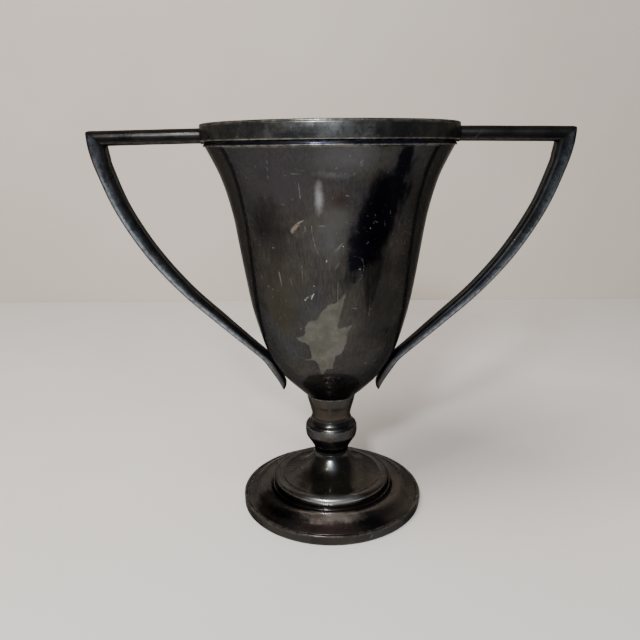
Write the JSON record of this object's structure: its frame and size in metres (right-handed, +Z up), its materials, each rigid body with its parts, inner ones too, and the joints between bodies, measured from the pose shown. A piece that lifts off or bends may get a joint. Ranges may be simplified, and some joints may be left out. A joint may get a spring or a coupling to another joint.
{
  "type": "two-handled cup trophy",
  "caption": "Footed presentation cup with a flared bowl, a banded rim, angular loop handles, a knopped stem and a stepped round foot.",
  "frame": {"origin": "on the table under the centre of the round foot", "axes": "+Z up along the cup's axis, +X towards the right handle, the front faces -Y"},
  "size_m": [0.2426, 0.127, 0.204],
  "materials": {
    "bowl_plate": "silver plate over nickel silver, heavily tarnished to a dark brown-grey, fine upright rubbing marks, satin",
    "rim_plate": "tarnished silver plate, mottled grey, rubbed on the edges",
    "handle_plate": "tarnished silver plate over cast nickel silver, semi-gloss, bluish",
    "foot_plate": "tarnished silver plate, semi-gloss, brownish, edges rubbed bright",
    "bare_brass": "plain turned brass",
    "plain_steel": "dull zinc-plated steel"
  },
  "bodies": {
    "root": {"bowl": "bowl_plate", "rim_band": "rim_plate", "rim_lip_wire": "rim_plate", "under_band_wire": "rim_plate", "left_handle_bar": "handle_plate", "left_handle_sweep": "handle_plate", "right_handle_bar": "handle_plate", "right_handle_sweep": "handle_plate", "stem_collar": "foot_plate", "knop_upper_half": "foot_plate", "knop_lower_half": "foot_plate", "stem_neck": "foot_plate", "foot_shell": "foot_plate", "foot_rim_band": "foot_plate", "bowl_boss": "bare_brass", "tie_rod": "plain_steel", "foot_bridge_plate": "plain_steel", "flat_washer": "plain_steel", "spring_washer": "plain_steel", "hex_nut": "plain_steel"}
  },
  "joints": []
}
